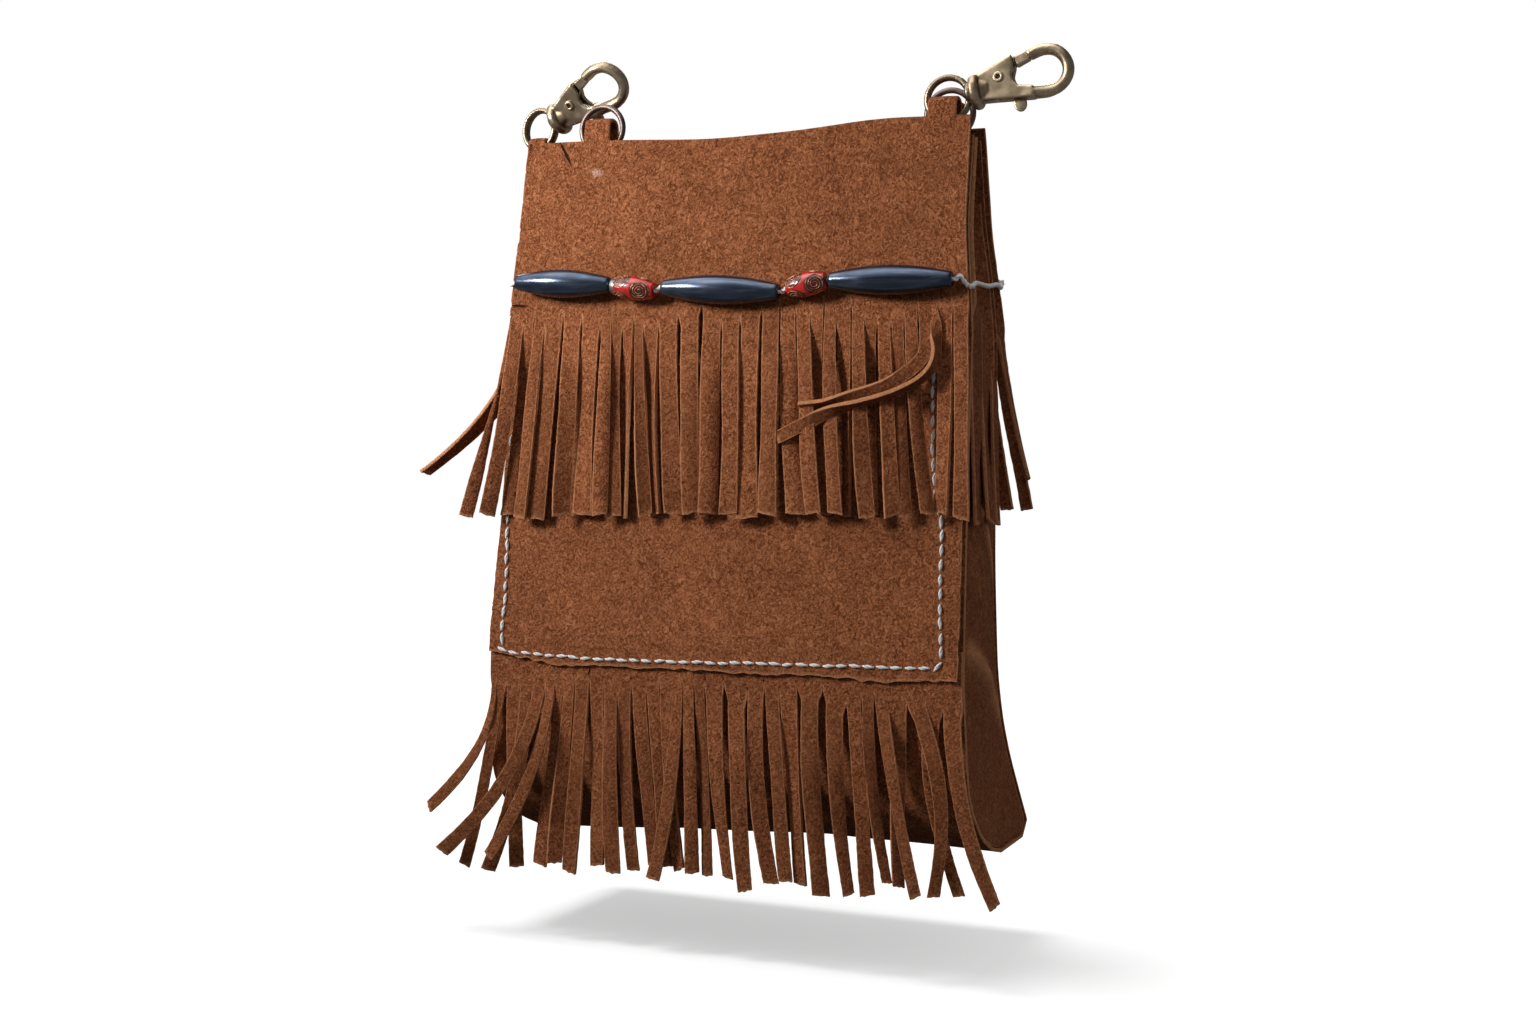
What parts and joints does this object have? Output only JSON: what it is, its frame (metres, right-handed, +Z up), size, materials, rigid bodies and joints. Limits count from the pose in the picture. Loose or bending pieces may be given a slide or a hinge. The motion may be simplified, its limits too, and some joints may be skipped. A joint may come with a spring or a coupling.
{
  "type": "fringed suede bag",
  "caption": "Hanging suede pouch with fringed flaps, a patch pocket, beads on a thread across the front, and rings and swivel snap clips on loops along its top edge.",
  "frame": {"origin": "middle of the bag's top edge, between the loops that it hangs by", "axes": "+Z up, +Y towards the back, +X to the wearer's left as the front is seen"},
  "size_m": [0.2094, 0.0827, 0.2582],
  "materials": {
    "suede": "warm mid-brown suede with a short nap",
    "antique_brass": "aged, satin",
    "tinted_nickel": "polished, slightly coppery",
    "spring_steel": "bare spring wire",
    "blue_glass": "opaque navy blue, satin",
    "red_glass": "opaque red with darker swirls",
    "white_thread": "white twisted thread"
  },
  "bodies": {
    "pouch": {"body_wrap": "suede", "left_gusset": "suede", "right_gusset": "suede", "front_fringe": "suede", "back_fringe": "suede", "left_side_fringe": "suede", "right_side_fringe": "suede", "pocket_patch": "suede", "lower_fringe": "suede", "front_left_tab": "suede", "front_right_tab": "suede", "back_left_tab": "suede", "back_right_tab": "suede", "bead_thread": "white_thread", "pocket_thread": "white_thread"},
    "front_left_ring": {"front_left_ring": "tinted_nickel"},
    "back_right_ring": {"back_right_ring": "tinted_nickel"},
    "right_clip_eye": {"right_clip_eye": "antique_brass"},
    "right_clip_hook": {"right_clip_hook": "antique_brass", "right_clip_rivet": "antique_brass", "right_clip_spring": "spring_steel"},
    "right_clip_gate": {"right_clip_gate": "antique_brass"},
    "left_clip_eye": {"left_clip_eye": "antique_brass"},
    "left_clip_hook": {"left_clip_hook": "antique_brass", "left_clip_rivet": "antique_brass", "left_clip_spring": "spring_steel"},
    "left_clip_gate": {"left_clip_gate": "antique_brass"},
    "bead_1": {"bead_1": "blue_glass"},
    "bead_2": {"bead_2": "red_glass"},
    "bead_3": {"bead_3": "blue_glass"},
    "bead_4": {"bead_4": "red_glass"},
    "bead_5": {"bead_5": "blue_glass"}
  },
  "joints": [
    {"name": "front_left_ring_swing", "type": "hinge", "parent": "pouch", "child": "front_left_ring", "pos_m": [-0.0478, -0.0046, -0.00285], "axis": [1, 0, 0], "range_deg": [-4, 36]},
    {"name": "back_right_ring_swing", "type": "hinge", "parent": "pouch", "child": "back_right_ring", "pos_m": [0.0657, 0.0039, -0.00285], "axis": [-1, 0, 0], "range_deg": [-24, 36]},
    {"name": "right_clip_eye_turn", "type": "hinge", "parent": "pouch", "child": "right_clip_eye", "pos_m": [0.0674, -0.0046, 0.0069], "axis": [0, -1, 0], "range_deg": [0, 165]},
    {"name": "right_clip_swivel", "type": "hinge", "parent": "right_clip_eye", "child": "right_clip_hook", "pos_m": [0.07609, -0.0046, 0.00859], "axis": [0.9816, 0, 0.1908], "continuous": true},
    {"name": "right_clip_gate_pivot", "type": "hinge", "parent": "right_clip_hook", "child": "right_clip_gate", "pos_m": [0.08321, -0.0046, 0.01192], "axis": [0, 1, 0], "range_deg": [0, 22], "stiffness_Nm_per_rad": 0.01, "springref_deg": -11.46},
    {"name": "left_clip_eye_turn", "type": "hinge", "parent": "pouch", "child": "left_clip_eye", "pos_m": [-0.075, 0.0039, 0.0075], "axis": [-0.2419, -0.9703, 0], "range_deg": [0, 165]},
    {"name": "left_clip_swivel", "type": "hinge", "parent": "left_clip_eye", "child": "left_clip_hook", "pos_m": [-0.06693, 0.00189, 0.01053], "axis": [-0.9118, 0.2273, -0.342], "range_deg": [-65, 15]},
    {"name": "left_clip_gate_pivot", "type": "hinge", "parent": "left_clip_hook", "child": "left_clip_gate", "pos_m": [-0.06076, -0.00072, 0.01464], "axis": [0.0221, 0.8588, 0.5118], "range_deg": [0, 22], "stiffness_Nm_per_rad": 0.01, "springref_deg": -11.46},
    {"name": "bead_1_spin", "type": "hinge", "parent": "pouch", "child": "bead_1", "pos_m": [-0.05572, -0.01424, -0.0465], "axis": [0.999, 0, -0.0454], "continuous": true},
    {"name": "bead_2_spin", "type": "hinge", "parent": "pouch", "child": "bead_2", "pos_m": [-0.03081, -0.01424, -0.0485], "axis": [0.9925, 0, -0.1219], "continuous": true},
    {"name": "bead_3_spin", "type": "hinge", "parent": "pouch", "child": "bead_3", "pos_m": [-0.00133, -0.01424, -0.0497], "axis": [0.9984, 0, -0.0558], "continuous": true},
    {"name": "bead_4_spin", "type": "hinge", "parent": "pouch", "child": "bead_4", "pos_m": [0.0272, -0.01424, -0.0487], "axis": [0.9839, 0, 0.1788], "continuous": true},
    {"name": "bead_5_spin", "type": "hinge", "parent": "pouch", "child": "bead_5", "pos_m": [0.0535, -0.01424, -0.0481], "axis": [0.9999, 0, -0.0157], "continuous": true}
  ]
}
